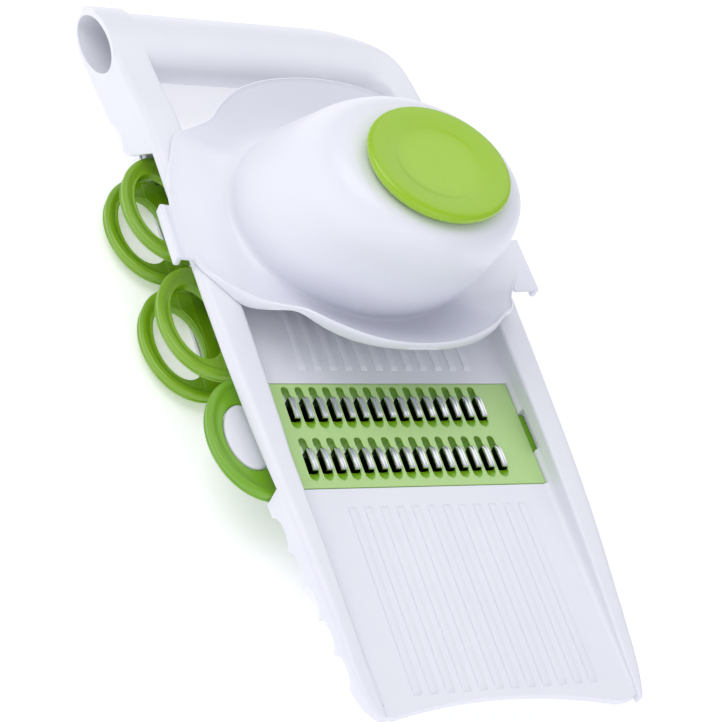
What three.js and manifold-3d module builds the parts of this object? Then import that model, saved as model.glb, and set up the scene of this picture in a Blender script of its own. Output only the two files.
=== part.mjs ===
// A mandoline slicer: a white moulded body with a grater insert in its window,
// four more inserts stored in a rack under the ramp, and a hand guard with a
// food pusher that slides along the rails.
//
// Millimetres. While the pieces are made, x runs across the body, y from the
// toe to the handle and z up from the ramp surface. The finished group is then
// moved so that its origin is the middle of the surface that it stands on.

import * as THREE from "three";
import { mergeVertices } from "three/addons/utils/BufferGeometryUtils.js";
import { ParametricGeometry } from "three/addons/geometries/ParametricGeometry.js";
import Module from "manifold-3d";

const wasm = await Module();
wasm.setup();

// ---------------------------------------------------------------- dimensions

const GAP = 0.3; // clearance between neighbouring pieces
const REACH = 60; // how far a cutting solid runs past what it cuts

// Body moulding.
const BODY_LENGTH = 337; // toe edge to the far side of the handle
const CHANNEL_HALF = 51.5; // half the width of the ramp between the rails
const RAIL_WALL = 2.2; // inner wall of each rail
const SKIN = 2.6; // outer wall of the moulding
const RAMP_THICK = 2.5;
const RAMP_END = 249; // where the upper ramp stops, at the grip opening
const RACK_END = 261; // the rails are closed inside beyond this
const SIDE_BOTTOM = -12; // lower edge of the side walls beside the rack
const TOE_BOTTOM = -5; // lower edge of the side walls at the toe
const LIP_BOTTOM = 5; // lower edge of the left rail over the insert openings

// Handle bar: a hollow flattened tube across the far end.
const BAR_CENTRE = new THREE.Vector2(314, -10);
const BAR_HALF = new THREE.Vector2(23, 11.4);
const BAR_TILT = THREE.MathUtils.degToRad(-22);
const BAR_WALL = 2.2;
const BAR_BLIND_END = 50; // the tube is closed beyond this on the right

// Window in the ramp that takes one insert.
const WINDOW_NEAR = 89.7;
const WINDOW_FAR = 135.6;
const WINDOW_HALF = 50.9;
const GUIDE_HALF = 50; // half the length of the guides beside the window
const GUIDE_THICK = 1.4;
const GUIDE_NEAR = [83.6, 87.1]; // upright of the guide on the toe side
const GUIDE_FAR = [138.4, 141.2];
const GUIDE_LEDGE = 3.8; // how far the ledges reach in from the uprights

// Anti-stick ribs on the ramp.
const RIB_WIDTH = 3;
const RIB_HEIGHT = 0.8;
const RIB_PITCH = 6.15;
const RIB_COUNT = 12;
const RIB_FIRST_X = -31;

// Bowl-rim notches along the toe.
const NOTCH_COUNT = 5;
const NOTCH_PITCH = 13.5;
const NOTCH_START = 14;

// Inserts.
const INSERT_Y = 112.75; // middle of the window
const INSERT_HALF_LENGTH = 50.6;
const INSERT_HALF_WIDTH = 25.25;
const INSERT_THICK = 4;
const TONGUE_START = 22.7; // the plate is stepped down beyond this
const TONGUE_TOP = -2.8;
const LOOP_CENTRE_X = -56;
const LOOP_REACH_X = 19;
const LOOP_HALF_WIDTH = 25.75;
const LOOP_TOP = 0.2;
const LOOP_BOTTOM = -4.3;
const HOLE_CENTRE_X = -60.5;
const FINGER_HOLE = new THREE.Vector2(9, 17);
const PLUGGED_HOLE = new THREE.Vector2(8.5, 14);
const TAIL_REACH = 53.5;
const TAIL_HALF_WIDTH = 8.5;

// Grater teeth: two rows of raised steel loops, each in its own slot.
const TOOTH_COUNT = 15;
const TOOTH_PITCH = 5.4;
const TOOTH_FIRST_X = -40.7;
const TOOTH_WIDTH = 2.8;
const TOOTH_SHIFT = 0.5;
const TOOTH_NEAR = 4.8;
const TOOTH_FAR = 4.4;
const TOOTH_RISE = 1.6;
const SLOT_WIDTH = 4.1;
const SLOT_HALF_LENGTH = 9.6;
const SLOT_FLOOR = 5.1;
const REAR_ROW = 11.6;
const FRONT_ROW = -10.8;
const STRIP_THICK = 0.8;

// Storage rack: two bays side by side, two levels each.
const BAY_Y = [170, 225];
const UPPER_LEVEL = -7; // top face of the insert plates
const LOWER_LEVEL = -19;
const UPPER_SHIFT = -1; // how far the stored inserts stand out to the left
const LOWER_SHIFT = -4;
const REST_LEVEL = -27; // the surface that the slicer stands on
const RACK_FLOOR = 1.8;
const RACK_HALF = 54.8;
const RACK_TOP = -2.8;
const RACK_WALL = 2.7;
const LEDGE_DEPTH = 3;
const LEDGE_THICK = 1.2;
const EAR_TOP = -9.5;
const EAR_THICK = 3;
const SCREW_PLACES = [[58, 141], [58, 197.5], [58, 256], [-58, 256]];

// Hand guard and food pusher.
const RAIL_TOP = 9.4;
const RIGHT_REACH = 74.5; // outer face of the guard's right ear
const LEFT_EAR = [-72.5, -62, 183, 209];
const RIGHT_EAR = [64, RIGHT_REACH, 172, 198];
const EAR_BAND = [10.4, 12]; // bottom and top of the ears' flat part
const EAR_LOW = 7;
const GUARD_X = 2; // the guard is the same on both sides of this
const DOME_FOOT_Y = 202.8;
const DOME_TOP_Y = 175.7;
const DOME_FOOT_Z = 10.8;
const DOME_TOP_Z = 70.9;
const DOME_FOOT_RADIUS = 46.1;
const BRIM_Y = 198;
const GUARD_WALL = 2.4;
const BRIM_WALL = 1.5;
const KNOB_Y = 173;
const KNOB_RADIUS = 27;
const KNOB_BOTTOM = 71.2;
const KNOB_TOP = 77;
const STEM_RADIUS = 7;
const STEM_HOLE = 11;
const PLATE_Y = 195.5;
const PLATE_RADIUS = 31;
const PLATE_TOP = 16;
const PLATE_BOTTOM = 14;
const PIN_TIP = 5.5;
const PIN_RINGS = [[5, 10], [10, 24]]; // pins and radius of each ring

// ----------------------------------------------------------------- materials

/** Makes a plain material for one piece. */
function finish(color, roughness, metalness) {
  return new THREE.MeshStandardMaterial({ color, roughness, metalness });
}

const WHITE = finish(0xf1f2f7, 0.35, 0);
const LIME = finish(0x8fbe34, 0.28, 0);
const LEAF = finish(0x6aa51c, 0.3, 0);
const PALE_GREEN = finish(0xaad47e, 0.35, 0);
const STEEL = finish(0xc9ccd1, 0.25, 1);

// ------------------------------------------------------------- solid helpers

/** Turns a closed geometry into a solid that can be joined and cut. */
function solid(geometry) {
  const bare = geometry.clone();
  bare.deleteAttribute("normal");
  bare.deleteAttribute("uv");
  const merged = mergeVertices(bare, 1e-4);
  return new wasm.Manifold(new wasm.Mesh({
    numProp: 3,
    vertProperties: Float32Array.from(merged.attributes.position.array),
    triVerts: Uint32Array.from(merged.index.array),
  }));
}

/** Turns a finished solid back into a geometry. */
function toGeometry(body) {
  const mesh = body.getMesh();
  const geometry = new THREE.BufferGeometry();
  geometry.setAttribute("position", new THREE.BufferAttribute(mesh.vertProperties, 3));
  geometry.setIndex(new THREE.BufferAttribute(mesh.triVerts, 1));
  return geometry;
}

/** Extrudes an outline drawn in x, y from z0 up to z1. */
function prismZ(shape, z0, z1, curveSegments = 6) {
  const geometry = new THREE.ExtrudeGeometry(shape, {
    depth: z1 - z0, bevelEnabled: false, curveSegments,
  });
  return solid(geometry.translate(0, 0, z0));
}

/** Extrudes a side outline drawn in y, z from x0 to x1. */
function prismX(shape, x0, x1, curveSegments = 6) {
  const geometry = new THREE.ExtrudeGeometry(shape, {
    depth: x1 - x0, bevelEnabled: false, curveSegments,
  });
  const turn = new THREE.Matrix4().makeBasis(
    new THREE.Vector3(0, 1, 0), new THREE.Vector3(0, 0, 1), new THREE.Vector3(1, 0, 0));
  return solid(geometry.applyMatrix4(turn).translate(x0, 0, 0));
}

/** Extrudes a section drawn in x, z from y0 to y1. */
function prismY(shape, y0, y1) {
  const geometry = new THREE.ExtrudeGeometry(shape, { depth: y1 - y0, bevelEnabled: false });
  const turn = new THREE.Matrix4().makeBasis(
    new THREE.Vector3(1, 0, 0), new THREE.Vector3(0, 0, 1), new THREE.Vector3(0, -1, 0));
  return solid(geometry.applyMatrix4(turn).translate(0, y1, 0));
}

/** A block between two corners. */
function block(x0, x1, y0, y1, z0, z1) {
  const geometry = new THREE.BoxGeometry(x1 - x0, y1 - y0, z1 - z0);
  return solid(geometry.translate((x0 + x1) / 2, (y0 + y1) / 2, (z0 + z1) / 2));
}

/** An upright round post. */
function post(x, y, radius, z0, z1, sides = 16) {
  const geometry = new THREE.CylinderGeometry(radius, radius, z1 - z0, sides);
  return solid(geometry.rotateX(Math.PI / 2).translate(x, y, (z0 + z1) / 2));
}

/** A round solid about an upright axis, from its profile of [radius, height]. */
function turned(profile, x, y, sides = 24) {
  const points = profile.map(([radius, height]) => new THREE.Vector2(radius, height));
  const geometry = new THREE.LatheGeometry(points, sides);
  return solid(geometry.rotateX(Math.PI / 2).translate(x, y, 0));
}

/** A closed outline from straight [a, b] corners. */
function polygon(corners) {
  return new THREE.Shape(corners.map(([a, b]) => new THREE.Vector2(a, b)));
}

/** An ellipse outline. */
function oval(centreX, centreY, halfX, halfY, turn = 0) {
  const shape = new THREE.Shape();
  shape.absellipse(centreX, centreY, halfX, halfY, 0, Math.PI * 2, false, turn);
  return shape;
}

/** Joins a list of solids. */
function joined(parts) {
  return parts.reduce((sum, part) => sum.add(part));
}

const group = new THREE.Group();

/** Adds one named piece to the slicer. */
function addPiece(name, body, material, parent = group) {
  const mesh = new THREE.Mesh(toGeometry(body), material);
  mesh.name = name;
  parent.add(mesh);
  return mesh;
}

// ------------------------------------------------------------- body moulding

/** Upper edge of the rails as [y, z] points, from the toe to the handle. */
const RAIL_CREST = [
  [0, 0.8], [20, 2.5], [40, 4.5], [70, 7], [110, 9], [170, RAIL_TOP], [245, 9.3],
  [262, 8], [275, 4.8], [287, 1.6], [302, 0], [319, -2], [331, -7], [BODY_LENGTH, -15],
];

/** Left inner edge of the channel as [x, y] points, drawn in towards the toe. */
const CHANNEL_LEFT = [
  [-44.5, -1], [-46.5, 25], [-48.3, 50], [-50, 75], [-CHANNEL_HALF, 98],
];

/** Outline of the moulding seen from above, drawn in by an inset. */
function planOutline(inset) {
  const half = (width) => width - inset;
  const side = [[62.4, 125], [64, 167], [65, 245]];
  const right = [[60.5, 66], ...side, [64.8, 290]]
    .map(([x, y]) => new THREE.Vector2(half(x), y));
  const left = [[54.4, 40], [57.6, 68], [60.6, 97], ...side, [66, 296]]
    .map(([x, y]) => new THREE.Vector2(-half(x), y)).reverse();
  const shape = new THREE.Shape();
  shape.moveTo(-40, inset);
  shape.quadraticCurveTo(0, 10 + inset, 43, inset);
  shape.quadraticCurveTo(half(54), inset, half(56.8), 15);
  shape.splineThru(right);
  shape.quadraticCurveTo(half(64.5), BODY_LENGTH - inset - 5, 34, BODY_LENGTH - inset);
  shape.lineTo(-63, BODY_LENGTH - inset);
  shape.quadraticCurveTo(-half(66), BODY_LENGTH - inset, -half(66), 330);
  shape.splineThru(left);
  shape.lineTo(-half(51.8), 14);
  shape.quadraticCurveTo(-half(49.8), inset, -40, inset);
  return shape;
}

/** Side view of the moulding: crest, handle end, hooks and toe notches. */
function sideOutline() {
  const crest = RAIL_CREST.map(([y, z]) => new THREE.Vector2(y, z));
  const shape = new THREE.Shape();
  shape.moveTo(0, TOE_BOTTOM);
  shape.lineTo(0, RAIL_CREST[0][1]);
  shape.splineThru(crest.slice(1));
  shape.quadraticCurveTo(337, -21, 331, -23.8);
  shape.lineTo(308, -22.5);
  shape.lineTo(292, -20);
  shape.lineTo(278, -18);
  shape.lineTo(268, SIDE_BOTTOM);
  shape.lineTo(261, -15.5);
  shape.lineTo(255, SIDE_BOTTOM);
  shape.lineTo(100, SIDE_BOTTOM);
  shape.lineTo(92, TOE_BOTTOM);
  const last = NOTCH_START + NOTCH_COUNT * NOTCH_PITCH;
  shape.lineTo(last, TOE_BOTTOM);
  for (let notch = NOTCH_COUNT - 1; notch >= 0; notch -= 1) {
    const start = NOTCH_START + notch * NOTCH_PITCH;
    shape.quadraticCurveTo(start + NOTCH_PITCH / 2, 0, start, TOE_BOTTOM);
  }
  shape.closePath();
  return shape;
}

/** The hollow under the moulding, open below. */
function underside() {
  const crest = RAIL_CREST
    .filter(([y]) => y > 0 && y < 290)
    .map(([y, z]) => new THREE.Vector2(y, z - SKIN));
  const shape = new THREE.Shape();
  shape.moveTo(SKIN, -REACH);
  shape.lineTo(SKIN, RAIL_CREST[0][1] - SKIN);
  shape.splineThru(crest);
  shape.lineTo(286, -REACH);
  shape.closePath();
  const hollow = prismX(shape, -REACH * 2, REACH * 2, 2)
    .intersect(prismZ(planOutline(SKIN), -REACH, REACH, 4));
  const inner = CHANNEL_HALF + RAIL_WALL;
  return hollow
    .subtract(block(-inner, inner, -REACH, RACK_END, -RAMP_THICK, REACH))
    .subtract(block(-inner, inner, RACK_END, BODY_LENGTH, -REACH, REACH));
}

/** Raised ribs on the ramp between two distances from the toe. */
function ribs(y0, y1) {
  const list = [];
  for (let rib = 0; rib < RIB_COUNT; rib += 1) {
    const x = RIB_FIRST_X + rib * RIB_PITCH;
    list.push(block(x - RIB_WIDTH / 2, x + RIB_WIDTH / 2, y0, y1, -1, RIB_HEIGHT));
  }
  return list;
}

/** A guide along one edge of the window, with a ledge under the insert's tongue. */
function insertGuide([near, far], ledgeReach) {
  const top = -INSERT_THICK - GAP;
  const right = CHANNEL_HALF + 1;
  return block(-GUIDE_HALF, right, near, far, top - GUIDE_THICK, -1)
    .add(block(-GUIDE_HALF, right, near + Math.min(ledgeReach, 0), far + Math.max(ledgeReach, 0),
      top - GUIDE_THICK, top));
}

/** The flattened section of the handle bar, thinned by an inset. */
function barOval(inset) {
  return oval(BAR_CENTRE.x, BAR_CENTRE.y, BAR_HALF.x - inset, BAR_HALF.y - inset, BAR_TILT);
}

/** The whole white body in one moulding. */
function bodyFrame() {
  const width = REACH * 2;
  const outside = prismX(sideOutline(), -width, width, 3)
    .intersect(prismZ(planOutline(0), -REACH, REACH, 4));
  const channel = polygon([
    ...CHANNEL_LEFT, [-CHANNEL_HALF, RAMP_END], [CHANNEL_HALF, RAMP_END], [CHANNEL_HALF, -1],
  ]);
  const loopNear = INSERT_Y - LOOP_HALF_WIDTH - GAP;
  const loopFar = INSERT_Y + LOOP_HALF_WIDTH + GAP;
  const sideOpening = polygon([
    [loopNear, LIP_BOTTOM], [241, LIP_BOTTOM], [260.5, -15], [262, -REACH], [loopNear, -REACH],
  ]);
  const bosses = SCREW_PLACES.map(([x, y]) => post(x, y, 2.8, EAR_TOP + GAP, 7.6));
  const pilots = SCREW_PLACES.map(([x, y]) => post(x, y, 1.6, -REACH, -1));
  let body = outside
    .subtract(prismZ(channel, 0, REACH))
    .subtract(block(-CHANNEL_HALF, CHANNEL_HALF, RAMP_END, BODY_LENGTH + 1, -REACH, REACH))
    .subtract(underside());
  body = body
    .add(prismX(barOval(0), -CHANNEL_HALF - 1, CHANNEL_HALF + 1, 16))
    .subtract(prismX(barOval(BAR_WALL), -width, BAR_BLIND_END, 12))
    .add(insertGuide(GUIDE_NEAR, GUIDE_LEDGE))
    .add(insertGuide(GUIDE_FAR, -GUIDE_LEDGE))
    .subtract(prismX(sideOpening, -width, -CHANNEL_HALF - RAIL_WALL))
    .subtract(block(-REACH, -CHANNEL_HALF + 0.1, loopNear, BAY_Y[1] + LOOP_HALF_WIDTH,
      -REACH, -RAMP_THICK))
    .subtract(block(-WINDOW_HALF, WINDOW_HALF, WINDOW_NEAR, WINDOW_FAR, -REACH, REACH))
    .subtract(block(-REACH, -WINDOW_HALF + 1, loopNear, loopFar, -REACH, TOOTH_RISE + GAP))
    .subtract(block(WINDOW_HALF - 1, TAIL_REACH + 2 * GAP, INSERT_Y - TAIL_HALF_WIDTH - GAP,
      INSERT_Y + TAIL_HALF_WIDTH + GAP, -REACH, 3));
  return joined([body, ...ribs(8, 82), ...ribs(141.5, 240), ...bosses])
    .subtract(joined(pilots));
}

addPiece("body_frame", bodyFrame(), WHITE);

// -------------------------------------------------------------- storage rack

/** One wall across the rack with ledges for the inserts on the sides given. */
function rackWall(y0, y1, ledgeSides) {
  const parts = [block(-RACK_HALF, RACK_HALF, y0, y1, REST_LEVEL, RACK_TOP)];
  for (const side of ledgeSides) {
    const near = side < 0 ? y0 - LEDGE_DEPTH : y1 - 1;
    const far = side < 0 ? y0 + 1 : y1 + LEDGE_DEPTH;
    const upper = UPPER_LEVEL - INSERT_THICK - GAP;
    const lower = LOWER_LEVEL - INSERT_THICK - GAP;
    parts.push(block(-RACK_HALF, RACK_HALF, near, far, upper - LEDGE_THICK, upper));
    parts.push(block(-RACK_HALF, RACK_HALF, near, far, REST_LEVEL, lower));
  }
  return joined(parts);
}

/** The tray screwed under the ramp, open on the left. */
function storageRack() {
  const clear = INSERT_HALF_WIDTH + 0.4;
  const near = BAY_Y[0] - clear;
  const far = BAY_Y[1] + clear;
  const ears = SCREW_PLACES.map(([x, y]) => {
    const inner = Math.sign(x) * 52;
    const outer = Math.sign(x) * 59.8;
    const reach = y > BAY_Y[1] ? 4.6 : 3.5;
    return block(Math.min(inner, outer), Math.max(inner, outer),
      y - reach, y + 3.5, EAR_TOP - EAR_THICK, EAR_TOP);
  });
  const holes = SCREW_PLACES.map(([x, y]) => post(x, y, 1.6, -REACH, 0));
  const backWall = block(RACK_HALF - 1.7, RACK_HALF, near - RACK_WALL, far + RACK_WALL,
    REST_LEVEL, EAR_TOP);
  return joined([
    block(-RACK_HALF, RACK_HALF, near - RACK_WALL, far + RACK_WALL,
      REST_LEVEL, REST_LEVEL + RACK_FLOOR),
    rackWall(near - RACK_WALL, near, [1]),
    rackWall(BAY_Y[0] + clear, BAY_Y[1] - clear, [-1, 1]),
    rackWall(far, far + RACK_WALL, [-1]),
    backWall,
    ...ears,
  ]).subtract(joined(holes));
}

addPiece("storage_rack", storageRack(), WHITE);

SCREW_PLACES.forEach(([x, y], index) => {
  const under = EAR_TOP - EAR_THICK - GAP;
  const screw = turned([
    [0, under - 1.8], [1.8, under - 1.8], [2.4, under - 1.2], [2.4, under],
    [1.3, under], [1.3, -2.2], [0, -1.3],
  ], x, y, 12);
  addPiece(`rack_screw_${index + 1}`, screw, STEEL);
});

// ------------------------------------------------------------------- inserts

/** The plate, stepped tongues, finger loop and tail that every insert shares. */
function insertBlank(hole) {
  const plate = block(-INSERT_HALF_LENGTH, INSERT_HALF_LENGTH,
    -INSERT_HALF_WIDTH, INSERT_HALF_WIDTH, -INSERT_THICK, 0);
  const rebate = (side) => block(-INSERT_HALF_LENGTH - 1, INSERT_HALF_LENGTH + 1,
    Math.min(side * TONGUE_START, side * REACH), Math.max(side * TONGUE_START, side * REACH),
    TONGUE_TOP, 1);
  const loop = prismZ(oval(LOOP_CENTRE_X, 0, LOOP_REACH_X, LOOP_HALF_WIDTH),
    LOOP_BOTTOM, LOOP_TOP, 16)
    .subtract(block(LOOP_CENTRE_X, REACH, -REACH, REACH, -REACH, REACH));
  const neck = block(LOOP_CENTRE_X - 0.1, -INSERT_HALF_LENGTH + 0.1,
    -INSERT_HALF_WIDTH, INSERT_HALF_WIDTH, -INSERT_THICK, TONGUE_TOP + 0.3)
    .add(block(LOOP_CENTRE_X - 0.1, -INSERT_HALF_LENGTH + 0.1,
      -TONGUE_START, TONGUE_START, -INSERT_THICK, 0));
  const tail = block(INSERT_HALF_LENGTH - 0.1, TAIL_REACH,
    -TAIL_HALF_WIDTH, TAIL_HALF_WIDTH, -INSERT_THICK, -0.5);
  return plate.subtract(rebate(1)).subtract(rebate(-1)).add(loop).add(neck).add(tail)
    .subtract(prismZ(oval(HOLE_CENTRE_X, 0, hole.x, hole.y), -REACH, REACH, 14));
}

/** Middle of each tooth across the insert. */
function toothPlaces() {
  return Array.from({ length: TOOTH_COUNT }, (_, tooth) => TOOTH_FIRST_X + tooth * TOOTH_PITCH);
}

/** The grater insert's plate, with a sloped slot in front of every tooth. */
function graterCarrier() {
  const slots = [];
  for (const row of [REAR_ROW, FRONT_ROW]) {
    const outline = polygon([
      [row - SLOT_HALF_LENGTH, 1], [row - SLOT_HALF_LENGTH, -0.4],
      [row - SLOT_FLOOR, -INSERT_THICK], [row - SLOT_FLOOR, -REACH],
      [row + SLOT_HALF_LENGTH, -REACH], [row + SLOT_HALF_LENGTH, 1],
    ]);
    for (const x of toothPlaces()) {
      slots.push(prismX(outline, x - SLOT_WIDTH / 2, x + SLOT_WIDTH / 2));
    }
  }
  return insertBlank(PLUGGED_HOLE).subtract(joined(slots));
}

/** One row of steel teeth on the strip that joins them under the plate. */
function toothStrip(row) {
  const top = -INSERT_THICK - GAP;
  const first = TOOTH_FIRST_X - 2.5;
  const last = TOOTH_FIRST_X + (TOOTH_COUNT - 1) * TOOTH_PITCH + 2.5;
  const half = TOOTH_WIDTH / 2;
  const [near, far] = [row - TOOTH_NEAR, row + TOOTH_FAR];
  const teeth = toothPlaces().map((place) => place + TOOTH_SHIFT).map((x) => prismY(polygon([
    [x - half, top - 0.2], [x + half, top - 0.2], [x + half, TOOTH_RISE - 0.8],
    [x + half - 0.7, TOOTH_RISE], [x - half + 0.7, TOOTH_RISE], [x - half, TOOTH_RISE - 0.8],
  ]), near, far));
  return joined([
    block(first, last, near, far, top - STRIP_THICK, top), ...teeth]);
}

/** A slicing insert's plate with a mouth and two blocks that carry the blade. */
function slicerCarrier(bladeRise) {
  const blocks = [-1, 1].map((side) => block(
    Math.min(side * 41, side * 46), Math.max(side * 41, side * 46), 1, 13,
    -1, bladeRise - GAP));
  return insertBlank(FINGER_HOLE)
    .subtract(block(-41.2, 41.2, -5, 9, -REACH, REACH))
    .add(joined(blocks));
}

/** A straight blade, ground to an edge on its front side. */
function straightBlade(bladeRise) {
  return prismX(polygon([
    [0.5, bladeRise], [13, bladeRise], [13, bladeRise + 0.8], [3.5, bladeRise + 0.8],
  ]), -46, 46);
}

/** A comb of upright cutters on a strip across the mouth. */
function julienneComb() {
  const parts = [block(-40.5, 40.5, -4.4, -1.9, -INSERT_THICK, -2)];
  for (let tooth = 0; tooth < 11; tooth += 1) {
    const x = -37.5 + tooth * 7.5;
    parts.push(prismX(polygon([[-4.4, -2.1], [-1.9, -2.1], [-1.9, 1.4], [-3.2, 1.4]]),
      x - 0.4, x + 0.4));
  }
  return joined(parts);
}

/** The fine grater's plate, with a stepped window for its steel sheet. */
function fineGraterCarrier() {
  return insertBlank(FINGER_HOLE)
    .subtract(block(-44.3, 44.3, -18.3, 18.3, -1.1, 1))
    .subtract(block(-40, 40, -15, 15, -REACH, REACH));
}

/** A steel sheet covered with small raised points. */
function fineGraterSheet() {
  const parts = [block(-44, 44, -18, 18, -0.8, 0)];
  for (let column = 0; column < 9; column += 1) {
    for (let row = 0; row < 3; row += 1) {
      const point = new THREE.ConeGeometry(2, 1.6, 4).rotateX(Math.PI / 2);
      parts.push(solid(point.translate(-36 + column * 9, -10 + row * 10, 0.7)));
    }
  }
  return joined(parts);
}

/** Opens a group for one insert at its place in the slicer. */
function insertGroup(shift, y, level) {
  const place = new THREE.Group();
  place.position.set(shift, y, level);
  group.add(place);
  return place;
}

const grater = insertGroup(0, INSERT_Y, 0);
addPiece("grater_carrier", graterCarrier(), PALE_GREEN, grater);
addPiece("grater_rear_teeth", toothStrip(REAR_ROW), STEEL, grater);
addPiece("grater_front_teeth", toothStrip(FRONT_ROW), STEEL, grater);
addPiece("grater_loop_plug", prismZ(oval(HOLE_CENTRE_X, 0, PLUGGED_HOLE.x - GAP,
  PLUGGED_HOLE.y - GAP), -3.6, 0, 12), WHITE, grater);

const thin = insertGroup(LOWER_SHIFT, BAY_Y[0], LOWER_LEVEL);
addPiece("thin_slicer_carrier", slicerCarrier(0.4), LEAF, thin);
addPiece("thin_slicer_blade", straightBlade(0.4), STEEL, thin);

const fine = insertGroup(LOWER_SHIFT, BAY_Y[1], LOWER_LEVEL);
addPiece("fine_grater_carrier", fineGraterCarrier(), LEAF, fine);
addPiece("fine_grater_sheet", fineGraterSheet(), STEEL, fine);

const thick = insertGroup(UPPER_SHIFT, BAY_Y[0], UPPER_LEVEL);
addPiece("thick_slicer_carrier", slicerCarrier(2.4), LEAF, thick);
addPiece("thick_slicer_blade", straightBlade(2.4), STEEL, thick);

const julienne = insertGroup(UPPER_SHIFT, BAY_Y[1], UPPER_LEVEL);
addPiece("julienne_carrier", slicerCarrier(0.9), LEAF, julienne);
addPiece("julienne_blade", straightBlade(0.9), STEEL, julienne);
addPiece("julienne_comb", julienneComb(), STEEL, julienne);

// ---------------------------------------------------- hand guard and pusher

/** Left half of the brim's edge as [degrees from the right, radius, height]. */
const BRIM_EDGE = [
  [90, 70.2, 22.5], [116, 70.2, 22], [128, 68.5, 20.5], [134, 67.8, 17.5], [138, 72.5, 13],
  [142, 75, 11.4], [149, 72.8, 11.2], [160, 71.3, 11.2], [180, 69.5, 11.2], [194.5, 68, 11.2],
  [202, 65.8, 11.8], [210, 64.6, 14.2], [217.5, 65.3, 18.2], [224, 65.4, 22.5],
  [231, 64.8, 26.5], [240, 66.3, 28], [256, 67.2, 28], [270, 67.2, 28],
];

/** Point of the brim's edge at an angle in degrees between 0 and 360. */
function brimEdge(degrees) {
  const left = degrees < 90 || degrees > 270 ? (540 - degrees) % 360 : degrees;
  const after = Math.max(1, BRIM_EDGE.findIndex(([angle]) => angle >= left));
  const [angle0, radius0, height0] = BRIM_EDGE[after - 1];
  const [angle1, radius1, height1] = BRIM_EDGE[after];
  const step = (left - angle0) / (angle1 - angle0);
  const radius = THREE.MathUtils.lerp(radius0, radius1, step);
  const turn = THREE.MathUtils.degToRad(degrees);
  return new THREE.Vector3(GUARD_X + radius * Math.cos(turn),
    BRIM_Y + radius * Math.sin(turn), THREE.MathUtils.lerp(height0, height1, step));
}

/** Outer wall of the dome as [radius, height], from its top down to the brim. */
const DOME_OUTSIDE = [
  [STEM_HOLE, DOME_TOP_Z], [31, DOME_TOP_Z], [34.6, 69], [38.6, 63.5], [41.5, 55.5],
  [43.2, 47], [45.2, 36], [47, 26], [47.2, 18], [DOME_FOOT_RADIUS, DOME_FOOT_Z],
];

/** One side of the brim as [share of the way out, height over the straight line]. */
const BRIM_SAG = [[0.35, -1.2], [0.7, -1], [0.97, 0], [1, -0.4]];

/** Point of the dome's wall on a level ring. */
function domePoint(radius, height, turn) {
  const climb = (height - DOME_FOOT_Z) / (DOME_TOP_Z - DOME_FOOT_Z);
  const centreY = THREE.MathUtils.lerp(DOME_FOOT_Y, DOME_TOP_Y, Math.max(climb, 0));
  return new THREE.Vector3(GUARD_X + radius * Math.cos(turn),
    centreY + radius * Math.sin(turn), height);
}

/** Point on the brim between the foot of the dome and the brim's edge. */
function brimPoint(share, lift, turn, degrees) {
  const foot = domePoint(DOME_FOOT_RADIUS, DOME_FOOT_Z, turn);
  const point = foot.lerp(brimEdge(degrees), share);
  point.z = Math.max(point.z + lift, RAIL_TOP + GAP);
  return point;
}

/** The guard's wall as a closed loop of functions of the angle round it. */
const GUARD_LOOP = [
  ...DOME_OUTSIDE.map(([radius, height]) => (turn) => domePoint(radius, height, turn)),
  ...BRIM_SAG.map(([share, lift]) => (turn, degrees) => (
    brimPoint(share, lift, turn, degrees))),
  ...BRIM_SAG.toReversed().map(([share, lift]) => (turn, degrees) => (
    brimPoint(share - 0.01, Math.min(lift, -0.4) - BRIM_WALL, turn, degrees))),
  ...DOME_OUTSIDE.toReversed().map(([radius, height], row) => (turn) => {
    const inner = radius > STEM_HOLE ? radius - GUARD_WALL : radius;
    const lower = row === 0 ? height - BRIM_WALL : Math.min(height, DOME_TOP_Z - GUARD_WALL);
    return domePoint(inner, lower, turn);
  }),
];

/** Point of the guard's wall at an angle and a step of its loop. */
function guardPoint(u, v, target) {
  const degrees = 360 * (1 - u);
  const step = Math.round(v * GUARD_LOOP.length) % GUARD_LOOP.length;
  target.copy(GUARD_LOOP[step](THREE.MathUtils.degToRad(degrees), degrees));
}

/** One ear of the guard that hooks over a rail. */
function guardEar(x0, x1, y0, y1) {
  const outer = Math.abs(x0) > Math.abs(x1) ? x0 : x1;
  const inner = outer - Math.sign(outer) * GUARD_WALL;
  return block(x0, x1, y0, y1, EAR_BAND[0], EAR_BAND[1])
    .add(block(Math.min(inner, outer), Math.max(inner, outer), y0, y1,
      EAR_LOW, EAR_BAND[1] - 0.4));
}

/** The hat-shaped guard. */
function guardShell() {
  const wall = new ParametricGeometry(guardPoint, 60, GUARD_LOOP.length);
  return solid(wall).add(guardEar(...LEFT_EAR)).add(guardEar(...RIGHT_EAR));
}

addPiece("guard_shell", guardShell(), WHITE);

addPiece("pusher_knob", turned([
  [0, KNOB_BOTTOM], [23, KNOB_BOTTOM], [26.2, KNOB_TOP - 3.6], [KNOB_RADIUS, KNOB_TOP - 1.8],
  [26.2, KNOB_TOP - 0.5], [24.6, KNOB_TOP], [17, KNOB_TOP - 0.8], [0, KNOB_TOP - 1.6],
], GUARD_X, KNOB_Y, 40), LIME);

addPiece("pusher_stem", turned([
  [1.8, PLATE_TOP + GAP], [STEM_RADIUS, PLATE_TOP + GAP],
  [STEM_RADIUS, KNOB_BOTTOM - GAP], [0, KNOB_BOTTOM - GAP], [0, 32], [1.8, 32],
  [1.8, PLATE_TOP + GAP],
], GUARD_X, KNOB_Y, 20), WHITE);

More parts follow.
